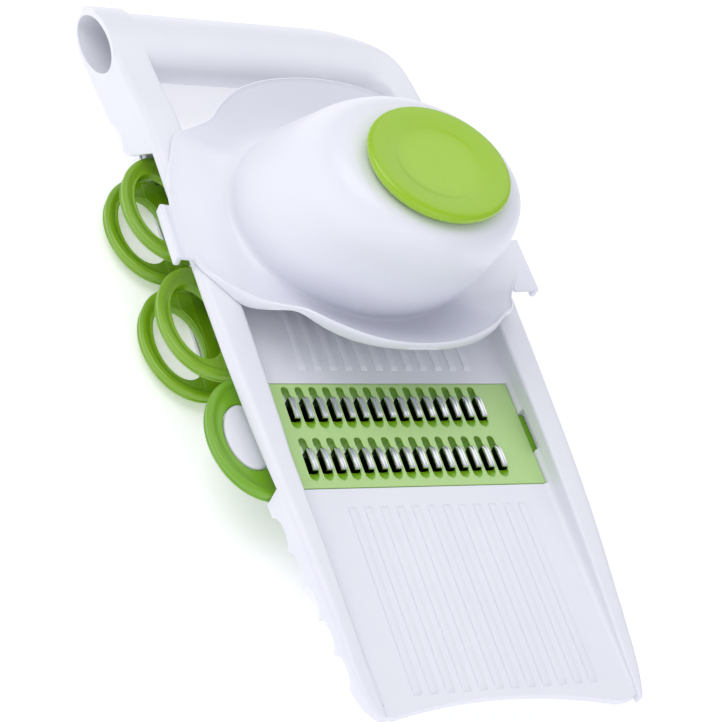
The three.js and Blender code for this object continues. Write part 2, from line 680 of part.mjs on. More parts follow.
/** The round plate that grips the food with its pins. */
function pinPlate() {
  const parts = [post(GUARD_X, PLATE_Y, PLATE_RADIUS,
    PLATE_BOTTOM, PLATE_TOP, 32)];
  for (const [count, radius] of PIN_RINGS) {
    for (let pin = 0; pin < count; pin += 1) {
      const angle = (pin / count) * Math.PI * 2;
      parts.push(turned([[0, PIN_TIP], [1.2, 12], [1.2, PLATE_BOTTOM + 0.5],
        [0, PLATE_BOTTOM + 0.5]], GUARD_X + radius * Math.cos(angle),
      PLATE_Y + radius * Math.sin(angle), 8));
    }
  }
  return joined(parts).subtract(post(GUARD_X, KNOB_Y, 1.8, 0, 40));
}

addPiece("pin_plate", pinPlate(), WHITE);

addPiece("pin_plate_screw", turned([
  [0, 12], [2.6, 12], [3.5, 12.7], [3.5, PLATE_BOTTOM - GAP],
  [1.5, PLATE_BOTTOM - GAP], [1.5, 29], [0, 30.5],
], GUARD_X, KNOB_Y, 12), STEEL);

// -------------------------------------------------------------------- origin

const LEFT_REACH = LOOP_CENTRE_X - LOOP_REACH_X + LOWER_SHIFT;
group.position.set(-(LEFT_REACH + RIGHT_REACH) / 2, -BODY_LENGTH / 2, -REST_LEVEL);
group.updateMatrixWorld(true);

export default group;
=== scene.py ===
"""Looks of the mandoline slicer: smooth moulded pieces, finishes, camera and light.

Every shape is drawn in design millimetres, where x runs across the slicer, y from the toe to the
handle and z up from the ramp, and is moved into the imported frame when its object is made.
"""

import logging
import math
from dataclasses import dataclass
from enum import Enum
from functools import reduce
from typing import Callable, Iterable, Sequence

import bmesh
import bpy
from mathutils import Matrix, Vector

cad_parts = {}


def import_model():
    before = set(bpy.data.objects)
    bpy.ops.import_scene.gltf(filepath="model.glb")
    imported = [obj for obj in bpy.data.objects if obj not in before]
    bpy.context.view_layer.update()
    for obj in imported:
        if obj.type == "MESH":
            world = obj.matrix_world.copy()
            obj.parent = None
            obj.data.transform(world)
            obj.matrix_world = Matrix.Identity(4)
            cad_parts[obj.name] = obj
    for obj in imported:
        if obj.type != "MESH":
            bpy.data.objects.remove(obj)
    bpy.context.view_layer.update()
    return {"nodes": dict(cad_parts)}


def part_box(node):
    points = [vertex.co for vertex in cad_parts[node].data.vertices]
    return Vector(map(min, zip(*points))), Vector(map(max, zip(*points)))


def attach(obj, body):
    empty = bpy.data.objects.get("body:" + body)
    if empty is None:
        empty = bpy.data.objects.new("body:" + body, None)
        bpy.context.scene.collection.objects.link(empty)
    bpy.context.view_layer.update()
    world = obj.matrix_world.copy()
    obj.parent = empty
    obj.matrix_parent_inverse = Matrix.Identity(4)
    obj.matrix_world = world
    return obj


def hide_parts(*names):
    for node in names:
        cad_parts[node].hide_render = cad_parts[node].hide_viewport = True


LOG = logging.getLogger("slicer")
MM = 0.001

INSERT_Y = 112.75
HOLE_X = -60.5
TOOTH_ROWS = (11.6, -10.8)
TOOTH_COUNT = 15
TOOTH_PITCH = 5.4
TOOTH_FIRST = -40.7
NOTCH_FIRST = 14.0
NOTCH_PITCH = 13.5
NOTCH_COUNT = 5
RIB_COUNT = 12
RIB_PITCH = 6.15
RIB_FIRST = -31

Point = tuple[float, float, float]
Pair = tuple[float, float]


# ------------------------------------------------------------------ curves and sections


def smooth_between(table: Sequence[Pair], at: float) -> float:
    """Reads a smooth curve through a table of pairs.

    Args:
        table: Rising positions, each with its value.
        at: The position to read.

    Returns:
        The value there, held level beyond both ends.
    """
    if at <= table[0][0]:
        return table[0][1]
    if at >= table[-1][0]:
        return table[-1][1]
    last = len(table) - 2
    row = min(i for i in range(last + 1) if at <= table[i + 1][0])
    (a0, v0), (a1, v1) = table[row], table[row + 1]
    step = a1 - a0
    before, after = table[max(row - 1, 0)], table[min(row + 2, last + 1)]
    slope0 = (v1 - before[1]) / (a1 - before[0])
    slope1 = (after[1] - v0) / (after[0] - a0)
    t = (at - a0) / step
    return (
        (2 * t**3 - 3 * t**2 + 1) * v0
        + (t**3 - 2 * t**2 + t) * step * slope0
        + (3 * t**2 - 2 * t**3) * v1
        + (t**3 - t**2) * step * slope1
    )


def steps(start: float, end: float, count: int) -> list[float]:
    """Returns evenly spaced numbers, both ends included."""
    return [start + (end - start) * i / (count - 1) for i in range(count)]


def lerp(a: float, b: float, t: float) -> float:
    """Returns the number a share t of the way from a to b."""
    return a + (b - a) * t


def ellipse(centre: Pair, half: Pair, count: int, turn: float = 0.0) -> list[Pair]:
    """Returns points round an ellipse, counter-clockwise, turned by an angle in radians."""
    points = []
    for i in range(count):
        a = 2 * math.pi * i / count
        u, v = half[0] * math.cos(a), half[1] * math.sin(a)
        points.append((
            centre[0] + u * math.cos(turn) - v * math.sin(turn),
            centre[1] + u * math.sin(turn) + v * math.cos(turn),
        ))
    return points


def rounded_box(low: Pair, high: Pair, radii: Sequence[float], arc: int = 5) -> list[Pair]:
    """Draws a rectangle with round corners.

    Args:
        low: Its lower left corner.
        high: Its upper right corner.
        radii: Radius at the lower left, lower right, upper right and upper left corner.
        arc: Points in each corner.

    Returns:
        The outline, counter-clockwise from the lower left.
    """
    limit = min(high[0] - low[0], high[1] - low[1]) * 0.49
    corners = [(low[0], low[1]), (high[0], low[1]), (high[0], high[1]), (low[0], high[1])]
    outline = []
    for i, (x, y) in enumerate(corners):
        r = min(radii[i], limit)
        cx = x + r if i in (0, 3) else x - r
        cy = y + r if i in (0, 1) else y - r
        for k in range(arc):
            a = math.pi + math.pi / 2 * (i + k / (arc - 1))
            outline.append((cx + r * math.cos(a), cy + r * math.sin(a)))
    return outline


# -------------------------------------------------------------------------- mesh making


class Cut(Enum):
    """How one solid changes another."""

    JOIN = "UNION"
    REMOVE = "DIFFERENCE"
    KEEP = "INTERSECT"


class Solid:
    """A mesh in design millimetres that grows by bmesh operators."""

    def __init__(self) -> None:
        """Starts with nothing."""
        self.bm = bmesh.new()

    def loft(self, rings: Sequence[Sequence[Point]], closed: bool = False) -> "Solid":
        """Bridges rings of points into a skin.

        Args:
            rings: Loops with the same number of points.
            closed: True joins the last ring to the first; otherwise both ends are filled.

        Returns:
            The solid itself.
        """
        loops = []
        for ring in rings:
            verts = [self.bm.verts.new(p) for p in ring]
            loops.append([
                self.bm.edges.new((verts[i], verts[(i + 1) % len(verts)]))
                for i in range(len(verts))
            ])
        pairs = list(zip(loops, loops[1:] + loops[:1])) if closed else list(zip(loops, loops[1:]))
        for one, other in pairs:
            bmesh.ops.bridge_loops(self.bm, edges=one + other)
        if not closed:
            for end in (loops[0], loops[-1]):
                bmesh.ops.contextual_create(self.bm, geom=end)
        return self.outward()

    def outward(self) -> "Solid":
        """Turns every face outwards."""
        bmesh.ops.recalc_face_normals(self.bm, faces=self.bm.faces[:])
        if self.bm.calc_volume(signed=True) < 0:
            bmesh.ops.reverse_faces(self.bm, faces=self.bm.faces[:])
        return self

    def prism(self, outline: Sequence[Pair], z0: float, z1: float) -> "Solid":
        """Raises an outline in x, y from z0 to z1."""
        return self.loft([[(x, y, z) for x, y in outline] for z in (z0, z1)])

    def prism_across(self, outline: Sequence[Pair], x0: float, x1: float) -> "Solid":
        """Stretches an outline in y, z from x0 to x1."""
        return self.loft([[(x, y, z) for y, z in outline] for x in (x0, x1)])

    def block(self, low: Point, high: Point, round_by: float = 0.0, arc: int = 3) -> "Solid":
        """Adds a box between two corners with its edges rounded.

        Args:
            low: Its lowest corner.
            high: Its highest corner.
            round_by: Radius of its edges.
            arc: Segments of the rounding.

        Returns:
            The solid itself.
        """
        middle = Vector([(a + b) / 2 for a, b in zip(low, high)])
        size = [b - a for a, b in zip(low, high)]
        place = Matrix.Translation(middle) @ Matrix.Diagonal((*size, 1))
        made = bmesh.ops.create_cube(self.bm, size=1, matrix=place)
        if round_by > 0:
            edges = {e for v in made["verts"] for e in v.link_edges}
            bmesh.ops.bevel(
                self.bm, geom=list(edges), offset=round_by, segments=arc, profile=0.5,
                affect="EDGES", material=-1, clamp_overlap=True,
            )
        return self

    def turned(self, profile: Sequence[Pair], axis: Pair, sides: int = 64) -> "Solid":
        """Spins a profile about an upright axis.

        Args:
            profile: Pairs of radius and height, from the axis back to the axis.
            axis: Where the axis stands in x and y.
            sides: Steps of the spin.

        Returns:
            The solid itself.
        """
        verts = [self.bm.verts.new((axis[0] + r, axis[1], z)) for r, z in profile]
        edges = [self.bm.edges.new(pair) for pair in zip(verts, verts[1:])]
        bmesh.ops.spin(
            self.bm, geom=verts + edges, cent=(axis[0], axis[1], 0), axis=(0, 0, 1),
            angle=2 * math.pi, steps=sides, use_merge=True, use_normal_flip=False,
            use_duplicate=False,
        )
        bmesh.ops.remove_doubles(self.bm, verts=self.bm.verts[:], dist=1e-4)
        return self.outward()

    def mesh(self) -> bpy.types.Mesh:
        """Hands over a mesh in design millimetres and frees the working copy."""
        data = bpy.data.meshes.new("work")
        self.bm.to_mesh(data)
        self.bm.free()
        return data

    def changed(self, kind: Cut, other: "Solid") -> "Solid":
        """Joins, cuts or keeps what is shared with another solid.

        Args:
            kind: What to do with the other solid.
            other: The other solid, which is used up.

        Returns:
            A new solid.
        """
        base = bpy.data.objects.new("base", self.mesh())
        tool = bpy.data.objects.new("tool", other.mesh())
        for thing in (base, tool):
            bpy.context.scene.collection.objects.link(thing)
        modifier = base.modifiers.new("change", "BOOLEAN")
        modifier.object = tool
        modifier.operation = kind.value
        modifier.solver = "MANIFOLD"
        graph = bpy.context.evaluated_depsgraph_get()
        result = bpy.data.meshes.new_from_object(base.evaluated_get(graph))
        fresh = Solid()
        fresh.bm.from_mesh(result)
        for data in (result, base.data, tool.data):
            bpy.data.meshes.remove(data)
        return fresh

    def join(self, other: "Solid") -> "Solid":
        """Returns this solid with another one added."""
        return self.changed(Cut.JOIN, other)

    def cut(self, other: "Solid") -> "Solid":
        """Returns this solid with another one taken away."""
        return self.changed(Cut.REMOVE, other)

    def keep(self, other: "Solid") -> "Solid":
        """Returns what this solid shares with another one."""
        return self.changed(Cut.KEEP, other)

    def lifted(self, x: float, y: float, z: float) -> "Solid":
        """Moves the whole solid."""
        bmesh.ops.translate(self.bm, verts=self.bm.verts[:], vec=(x, y, z))
        return self


# ---------------------------------------------------------------------------- materials


class Value:
    """A number socket of a material that can be used in arithmetic."""

    def __init__(self, nodes: "Finish", socket: bpy.types.NodeSocket) -> None:
        """Wraps a socket."""
        self.nodes = nodes
        self.socket = socket

    def _with(self, operation: str, first: object, second: object) -> "Value":
        """Adds one Math node on two values."""
        node = self.nodes.add("ShaderNodeMath", {"operation": operation}, {0: first, 1: second})
        return Value(self.nodes, node.outputs[0])

    def __add__(self, other: object) -> "Value":
        """Adds."""
        return self._with("ADD", self, other)

    def __radd__(self, other: object) -> "Value":
        """Adds, the other way round."""
        return self._with("ADD", other, self)

    def __sub__(self, other: object) -> "Value":
        """Subtracts."""
        return self._with("SUBTRACT", self, other)

    def __rsub__(self, other: object) -> "Value":
        """Subtracts, the other way round."""
        return self._with("SUBTRACT", other, self)

    def __mul__(self, other: object) -> "Value":
        """Multiplies."""
        return self._with("MULTIPLY", self, other)

    def __rmul__(self, other: object) -> "Value":
        """Multiplies, the other way round."""
        return self._with("MULTIPLY", other, self)

    def between(self, low: float, high: float) -> "Value":
        """Returns 0 below low, 1 above high and a smooth climb between them."""
        node = self.nodes.add(
            "ShaderNodeMapRange", {"interpolation_type": "SMOOTHSTEP"},
            {"Value": self, "From Min": low, "From Max": high},
        )
        return Value(self.nodes, node.outputs["Result"])


Colour = tuple[float, float, float]


class Finish:
    """A material and the one way in which nodes are added to it."""

    def __init__(self, name: str) -> None:
        """Starts a material with its shader."""
        self.material = bpy.data.materials.new(name)
        self.material.use_nodes = True
        self.tree = self.material.node_tree
        self.shader = self.tree.nodes["Principled BSDF"]

    def add(
        self, kind: str, settings: dict[str, object] | None = None,
        inputs: dict[object, object] | None = None,
    ) -> bpy.types.Node:
        """Adds a node.

        Args:
            kind: The node's type.
            settings: Its own properties, set before its sockets.
            inputs: Values, colours or sockets by input name or number.

        Returns:
            The new node.
        """
        node = self.tree.nodes.new(kind)
        for key, value in (settings or {}).items():
            setattr(node, key, value)
        for key, value in (inputs or {}).items():
            self.feed(node.inputs[key], value)
        return node

    def feed(self, socket: bpy.types.NodeSocket, value: object) -> None:
        """Links or sets one input."""
        if isinstance(value, Value):
            self.tree.links.new(value.socket, socket)
        elif isinstance(value, bpy.types.NodeSocket):
            self.tree.links.new(value, socket)
        elif socket.type == "RGBA" and len(value) == 3:
            socket.default_value = (*value, 1)
        else:
            socket.default_value = value

    def place(
        self, centre: Vector | None = None, scale: Point = (1, 1, 1)
    ) -> bpy.types.NodeSocket:
        """Gives Object coordinates measured from a centre and stretched by a scale."""
        start = self.add("ShaderNodeTexCoord").outputs["Object"]
        middle = centre or Vector((0, 0, 0))
        shift = [-c * s for c, s in zip(middle, scale)]
        return self.add(
            "ShaderNodeMapping", None, {"Vector": start, "Location": shift, "Scale": scale}
        ).outputs["Vector"]

    def noise(
        self, where: bpy.types.NodeSocket, scale: float, detail: float = 3.0,
        roughness: float = 0.5,
    ) -> Value:
        """Gives a soft noise at a scale in cells per metre."""
        node = self.add("ShaderNodeTexNoise", None, {
            "Vector": where, "Scale": scale, "Detail": detail, "Roughness": roughness,
        })
        return Value(self, node.outputs[0])

    def blend(self, share: object, first: object, second: object) -> bpy.types.NodeSocket:
        """Mixes two colours by a share."""
        node = self.add("ShaderNodeMix", {"data_type": "RGBA"}, {0: share, 6: first, 7: second})
        return node.outputs[2]

    def bump(self, height: Value, distance: float) -> None:
        """Raises the surface by a height pattern, in metres."""
        node = self.add("ShaderNodeBump", None, {
            "Height": height, "Distance": distance, "Strength": 1.0,
        })
        self.tree.links.new(node.outputs["Normal"], self.shader.inputs["Normal"])

    def dress(self, **inputs: object) -> None:
        """Sets the shader's own sockets, with spaces written as underscores."""
        for key, value in inputs.items():
            self.feed(self.shader.inputs[key.replace("_", " ")], value)


@dataclass(frozen=True)
class MouldedPlastic:
    """Injection-moulded plastic with flow marks, fine grain and faint smudges."""

    name: str
    colour: Colour
    deep: Colour
    gloss: float = 0.3
    grain: float = 0.00002
    coat: float = 0.0

    def made(self) -> Finish:
        """Builds the material."""
        finish = Finish(self.name)
        where = finish.place()
        flow = finish.noise(finish.place(scale=(1.0, 0.35, 1.0)), 26, 2)
        smudge = finish.noise(where, 90, 4, 0.6)
        pores = finish.noise(where, 2600, 2)
        tint = finish.blend((flow * 0.7 + smudge * 0.3).between(0.25, 0.8), self.colour, self.deep)
        finish.dress(
            Base_Color=tint,
            Roughness=self.gloss + (smudge - 0.5) * 0.12 + (pores - 0.5) * 0.05,
            IOR=1.49,
            Coat_Weight=self.coat,
            Coat_Roughness=0.12,
        )
        finish.bump(pores * 0.5 + flow * 6.0, self.grain)
        return finish


@dataclass(frozen=True)
class GraterPlastic:
    """Green plastic, deep in its slots and loop, with a painted reflection: the rougher top of the
    plate is painted pale.
    """

    name: str
    # The pale colour is a painted reflection of bright light on the plate's top.
    pale: Colour
    deep: Colour
    top: float
    left: float
    gloss: float = 0.3

    def made(self) -> Finish:
        """Builds the material."""
        finish = Finish(self.name)
        parts = finish.add("ShaderNodeSeparateXYZ", None, {0: finish.place()})
        x, z = Value(finish, parts.outputs["X"]), Value(finish, parts.outputs["Z"])
        face = z.between(self.top - 0.0003, self.top - 0.00005)
        plate = x.between(self.left - 0.0006, self.left + 0.0006)
        cloud = finish.noise(finish.place(), 60, 3)
        pores = finish.noise(finish.place(), 2600, 2)
        # Painted reflection: the plate's top beyond the loop gets the pale colour; the same mask
        # also raises its roughness and lowers its coat.
        painted_sheen_top = face * plate
        finish.dress(
            Base_Color=finish.blend(painted_sheen_top * (0.93 + cloud * 0.07), self.deep, self.pale),
            Roughness=self.gloss + painted_sheen_top * 0.12 + (cloud - 0.5) * 0.1 + (pores - 0.5) * 0.05,
            IOR=1.49,
            Coat_Weight=0.35 - painted_sheen_top * 0.25,
            Coat_Roughness=0.12,
        )
        finish.bump(pores, 0.00002)
        return finish


@dataclass(frozen=True)
class ToothSteel:
    """Bright steel hoops on a strip that has gone dark in the shade under the plate."""

    name: str
    bright: Colour
    dark: Colour
    level: float

    def made(self) -> Finish:
        """Builds the material."""
        finish = Finish(self.name)
        parts = finish.add("ShaderNodeSeparateXYZ", None, {0: finish.place()})
        lit = Value(finish, parts.outputs["Z"]).between(self.level - 0.0006, self.level)
        lines = finish.noise(finish.place(scale=(1.0, 0.05, 1.0)), 4200, 3)
        finish.dress(
            Base_Color=finish.blend(lit * (0.9 + lines * 0.1), self.dark, self.bright),
            Metallic=1.0,
            Roughness=0.2 + (lines - 0.5) * 0.16,
        )
        finish.bump(lines, 0.00001)
        return finish


@dataclass(frozen=True)
class BrushedSteel:
    """Stainless sheet with fine grinding lines across the slicer."""

    name: str
    colour: Colour
    gloss: float = 0.24

    def made(self) -> Finish:
        """Builds the material."""
        finish = Finish(self.name)
        lines = finish.noise(finish.place(scale=(0.04, 1.0, 1.0)), 5200, 3)
        cloud = finish.noise(finish.place(), 60, 3)
        darker = tuple(c * 0.86 for c in self.colour)
        finish.dress(
            Base_Color=finish.blend(lines * 0.6 + cloud * 0.4, self.colour, darker),
            Metallic=1.0,
            Roughness=self.gloss + (lines - 0.5) * 0.14 + (cloud - 0.5) * 0.08,
        )
        finish.bump(lines, 0.00001)
        return finish


@dataclass(frozen=True)
class KnobPlastic:
    """Glossy lime plastic that is paler in the dished middle of the knob."""

    name: str
    colour: Colour
    pale: Colour
    centre: Vector

    def made(self) -> Finish:
        """Builds the material."""
        finish = Finish(self.name)
        where = finish.place(self.centre)
        length = finish.add("ShaderNodeVectorMath", {"operation": "LENGTH"}, {0: where})
        reach = Value(finish, length.outputs["Value"])
        cloud = finish.noise(where, 40, 3)
        pores = finish.noise(where, 2400, 2)
        inner = 1 - reach.between(0.010, 0.021)
        finish.dress(
            Base_Color=finish.blend(inner * 0.75 + cloud * 0.15, self.colour, self.pale),
            Roughness=0.26 + (cloud - 0.5) * 0.1 + (pores - 0.5) * 0.05,
            IOR=1.49,
            Coat_Weight=0.3,
            Coat_Roughness=0.1,
        )
        finish.bump(pores, 0.00001)
        return finish


# --------------------------------------------------------------------------- the pieces


@dataclass
class Workshop:
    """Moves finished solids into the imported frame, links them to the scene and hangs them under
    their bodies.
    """

    origin: Vector

    def piece(
        self, name: str, solid: Solid, finish: Finish, body: str, slot: str,
        nodes: Iterable[str] = (), sharp: float = 35.0,
    ) -> bpy.types.Object:
        """Makes one finished piece.

        Args:
            name: The piece's name.
            solid: Its mesh in design millimetres, which is used up.
            finish: Its material.
            body: The CAD body that it moves with.
            slot: The record's material slot; not used.
            nodes: CAD nodes that it stands for.
            sharp: Edges that turn more than this many degrees stay crisp.

        Returns:
            The new object.
        """
        bm = solid.bm
        bmesh.ops.remove_doubles(bm, verts=bm.verts[:], dist=2e-3)
        bmesh.ops.transform(
            bm, verts=bm.verts[:],
            matrix=Matrix.Translation(self.origin) @ Matrix.Diagonal((MM, MM, MM, 1)),
        )
        limit = math.radians(sharp)
        for face in bm.faces:
            face.smooth = True
        for line in bm.edges:
            line.smooth = len(line.link_faces) == 2 and line.calc_face_angle(0) < limit
        data = solid.mesh()
        data.name = name
        data.materials.append(finish.material)
        thing = bpy.data.objects.new(name, data)
        bpy.context.scene.collection.objects.link(thing)
        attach(thing, body)
        if nodes:
            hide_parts(*nodes)
        LOG.info("%s: %d faces on %s", name, len(data.polygons), body)
        return thing


@dataclass
class Body:
    """The white moulded body: ramp, rails, window and handle."""

    shop: Workshop
    finish: Finish
    channel: float = 51.5
    wall: float = 2.2
    skin: float = 2.6
    ramp_end: float = 249.0
    rack_end: float = 261.0
    length: float = 337.0
    bar_centre: Pair = (314.0, -10.0)
    bar_half: Pair = (23.0, 11.4)
    bar_tilt: float = -22.0
    bar_wall: float = 2.2
    crest: tuple[Pair, ...] = (
        (0, 0.8), (20, 2.5), (40, 4.5), (70, 7), (110, 9), (170, 9.4), (245, 9.3),
        (262, 8), (275, 5.6), (287, 4.0), (296, 3.3), (304, 3.0), (312, 2.0), (319, 0.4),
        (326, -2.4), (331, -5.4), (335, -9.5), (337, -15),
    )
    channel_left: tuple[Pair, ...] = (
        (0, 44.5), (25, 46.5), (50, 48.3), (75, 50), (98, 51.5), (110, 51.5), (337, 51.5),
    )
    width_left: tuple[Pair, ...] = (
        (0, 46.2), (1.5, 47.7), (4, 49.2), (8, 50.6), (14, 51.8), (40, 54.4), (68, 57.6),
        (97, 60.6), (125, 62.4), (167, 64), (245, 65), (296, 66),
    )
    width_right: tuple[Pair, ...] = (
        (0, 52.5), (3, 54.3), (15, 56.8), (66, 60.5), (125, 62.4), (167, 64), (245, 65),
        (290, 64.8),
    )

    def low_edge(self, y: float) -> float:
        """Returns the height of the side walls' lower edge at a distance from the toe."""
        if y < 10:
            return lerp(-2.6, -5, y / 10)
        if NOTCH_FIRST < y < NOTCH_FIRST + NOTCH_PITCH * NOTCH_COUNT:
            wave = ((y - NOTCH_FIRST) / NOTCH_PITCH) % 1.0
            return -5.2 + 3.6 * math.sqrt(wave * (1 - wave)) * 2
        if y < 255:
            return lerp(-5, -12, min(max((y - 92) / 8, 0), 1))
        table = ((101, -12), (255, -12), (261, -15.5), (268, -12.5), (278, -18), (292, -20),
                 (308, -22.5), (331, -23.6), (337, -19))
        return smooth_between(table, y)

    def stations(self) -> list[float]:
        """Returns the distances from the toe at which a rail's section is drawn."""
        places = [0.4, 2, 5, 9, 14]
        places += [NOTCH_FIRST + NOTCH_PITCH * i / 8 for i in range(1, 8 * NOTCH_COUNT + 1)]
        places += [85, 89, 92, 94, 96, 98, 100, 104, 112, 125, 145, 170, 200, 225, 240]
        places += [248, 255, 258, 261, 264.5, 268, 273, 278, 283, 288]
        return places

    def rail_section(self, inner: float, outer: float, y: float) -> list[Point]:
        """Draws a rail's section between two distances from the middle line."""
        top, low = smooth_between(self.crest, y), self.low_edge(y)
        height = top + 2.6
        big = min(3.4, max(height * 0.45, 0.5))
        small = min(1.3, max(height * 0.3, 0.3))
        side = 1 if outer > inner else -1
        box = rounded_box(
            (0, low), (abs(outer - inner), top), (0.5, 0.8, big, small), 7)
        return [(inner + side * x, y, z) for x, z in box]

    def left_rail(self) -> Solid:
        """Builds the rail on the side of the finger loops."""
        rings = []
        for y in self.stations() + [292, 297, 302, 307, 313, 319, 325, 329, 332, 334.5, 336.3]:
            outer = -smooth_between(self.width_left, y)
            if y > self.length - 3:
                outer += 3 - math.sqrt(max(9 - (y - self.length + 3) ** 2, 0))
            rings.append(self.rail_section(-smooth_between(self.channel_left, y), outer, y))
        return Solid().loft(rings)

    def handle_and_right_rail(self) -> Solid:
        """Sweeps the handle bar round the corner and on down the right rail."""
        count = 48
        turn = math.radians(self.bar_tilt)
        oval = ellipse((0, 0), self.bar_half, count, turn)
        start = max(range(count), key=lambda i: -oval[i][0])
        oval = oval[start:] + oval[:start]
        rings = []
        for x in (-66, -60, -50, -30, -10, 10, 24, 33):
            rings.append([
                (x, self.bar_centre[0] + u, self.bar_centre[1] + v) for u, v in oval])
        corner = 14
        for i in range(1, corner + 1):
            t = i / corner
            a = math.pi / 2 * t
            inner = Vector((44 + 7.5 * math.sin(a), 283.5 + 7.5 * math.cos(a)))
            outer = Vector((34, 337)) * (1 - t) ** 2
            outer += Vector((65.5, 331)) * (2 * t * (1 - t)) + Vector((64.8, 284)) * t**2
            rings.append(self.corner_ring(oval, inner, outer, t))
        for y in reversed(self.stations()[:-2]):
            width = smooth_between(self.width_right, y)
            rings.append(self.corner_ring(
                oval, Vector((self.channel, y)), Vector((width, y)), 1.0))
        return Solid().loft(rings)

    def corner_ring(
        self, oval: Sequence[Pair], inner: Vector, outer: Vector, share: float
    ) -> list[Point]:
        """Draws one section of the sweep.

        Args:
            oval: The handle's section, from its near side round.
            inner: Plan position of the section's inner side.
            outer: Plan position of its outer side.
            share: 0 for the handle's section and 1 for the rail's.

        Returns:
            The section's points.
        """
        y = inner.y
        top, low = smooth_between(self.crest, y), self.low_edge(y)
        height = top + 2.6
        radii = (0.5, 0.8, min(3.4, max(height * 0.45, 0.5)), min(1.3, max(height * 0.3, 0.3)))
        height_all = top - low
        width = (outer - inner).length
        box = rounded_box((0, low), (width, top), radii, 12)
        shift = 12 * 3 + 6
        box = box[shift:] + box[:shift]
        ring = []
        middle = (inner + outer) / 2
        along = (outer - inner) / width
        ease = share * share * (3 - 2 * share)
        half = self.bar_half[0]
        for (u, v), (bx, bz) in zip(oval, box):
            across = lerp(u / half * width / 2, bx - width / 2, ease)
            spot = middle + along * across
            own = min(max(spot.y, y), self.length)
            own_top, own_low = smooth_between(self.crest, own), self.low_edge(own)
            share_up = (bz - low) / height_all
            z = lerp(self.bar_centre[1] + v, lerp(own_low, own_top, share_up), ease)
            ring.append((spot.x, spot.y, z))
        return ring

    def ramp(self) -> Solid:
        """Builds the ramp with its curved toe edge and the rounds where it meets the rails."""
        edge = [(x, 0.3 + 5 * (1 - (x / 43) ** 2)) for x in steps(-42, 43, 25)]
        right = [(47, 0.4), (50, 1.2), (52.3, 3)]
        left = [(-x - 0.8, y) for y, x in self.channel_left[5:0:-1]] + [(-46, 8), (-45.2, 1.2)]
        outline = left + edge + right + [(52.3, self.ramp_end), (-52.3, self.ramp_end)]
        plate = Solid().prism(outline, -2.5, 0)
        for side in (-1, 1):
            rings = []
            for y in (5, 9, 14, 20, 30, 50, 75, 98, 110, 180, self.ramp_end - 0.05):
                r = min(1.6 if side < 0 else 3.0, 0.8 * smooth_between(self.crest, y))
                wall = smooth_between(self.channel_left, y) if side < 0 else self.channel
                arc = [
                    (wall - r + r * math.sin(a), r - r * math.cos(a))
                    for a in steps(0, math.pi / 2, 7)
                ]
                corners = [(wall + 0.7, r), (wall + 0.7, -1), (wall - r, -1)]
                rings.append([(side * x, y, z) for x, z in arc + corners])
            plate = plate.join(Solid().loft(rings))
        return plate

    def ribs(self) -> Solid:
        """Builds the low round ribs that keep food from sticking."""
        ribs = Solid()
        for start, end in ((8, 82), (141.5, 240)):
            for i in range(RIB_COUNT):
                x = RIB_FIRST + RIB_PITCH * i
                arc = [(x + dx, z) for dx, z in (
                    (1.5, 0), (1.48, 0.4), (1.3, 0.68), (0.95, 0.78), (0, 0.8),
                    (-0.95, 0.78), (-1.3, 0.68), (-1.48, 0.4), (-1.5, 0))]
                low = [(x - 1.5, -1), (x + 1.5, -1)]
                rings = []
                for y, share in ((start, 0.15), (start + 1, 0.8), (start + 2, 1.0),
                                 (end - 2, 1.0), (end - 1, 0.8), (end, 0.15)):
                    rings.append(
                        [(px, y, pz * share) for px, pz in arc] + [(px, y, pz) for px, pz in low])
                ribs.loft(rings)
        return ribs

    def guides(self) -> Solid:
        """Builds the guides beside the window."""
        boxes = ((83.6, 87.1, -1), (83.6, 90.9, -4.3), (138.4, 141.2, -1), (134.6, 141.2, -4.3))
        return reduce(Solid.join, [
            Solid().block((-50, near, -5.7), (52.5, far, top), 0.2) for near, far, top in boxes])

    def hollow(self) -> Solid:
        """Builds what is taken away under both rails."""
        inner = self.channel + self.wall
        both = []
        for side, widths in ((-1, self.width_left), (1, self.width_right)):
            rings = []
            first = 9 if side > 0 else 80
            for y in [y for y in self.stations() if first <= y < self.rack_end] + [self.rack_end]:
                outer = max(smooth_between(widths, y) - self.skin, inner + 0.4)
                top = smooth_between(self.crest, y) - self.skin
                rings.append([
                    (side * inner, y, -60), (side * outer, y, -60),
                    (side * outer, y, top), (side * inner, y, top)])
            both.append(Solid().loft(rings))
        return both[0].join(both[1])

    def make(self) -> None:
        """Builds the whole moulding."""
        near, far = INSERT_Y - 26.05, INSERT_Y + 26.05
        body = self.left_rail().join(self.handle_and_right_rail()).join(self.ramp())
        body = body.cut(self.hollow()).join(self.guides())
        turn = math.radians(self.bar_tilt)
        bore_half = (self.bar_half[0] - self.bar_wall, self.bar_half[1] - self.bar_wall)
        bore = ellipse(self.bar_centre, bore_half, 48, turn)
        body = body.cut(Solid().loft([[(x, y, z) for y, z in bore] for x in (-80, 30)]))
        opening = [(near, 5), (near, -60), (259.5, -60), (258, -15), (240.5, 5)]
        body = body.cut(Solid().prism_across(opening, -90, -self.channel - self.wall))
        body = body.cut(Solid().block((-60, near, -60), (-self.channel + 0.1, 250.7, -2.5)))
        body = body.cut(Solid().block((-50.9, 89.7, -20), (50.9, 135.6, 20)))
        body = body.cut(Solid().block((-60, near, -60), (-49.9, far, 1.9)))
        body = body.cut(Solid().block(
            (49.9, INSERT_Y - 8.8, -20), (54.1, INSERT_Y + 8.8, 3)))
        body = body.join(self.ribs())
        for x, y in ((58, 141), (58, 197.5), (58, 256), (-58, 256)):
            body = body.join(Solid().turned(((0, -9.2), (1.7, -9.2), (1.7, -2), (2.8, -2),
                                             (2.8, 7.6), (0, 7.6)), (x, y), 20))
        self.shop.piece(
            "body_moulding", body, self.finish, "root", "white_plastic", ["body_frame"],
            sharp=38)


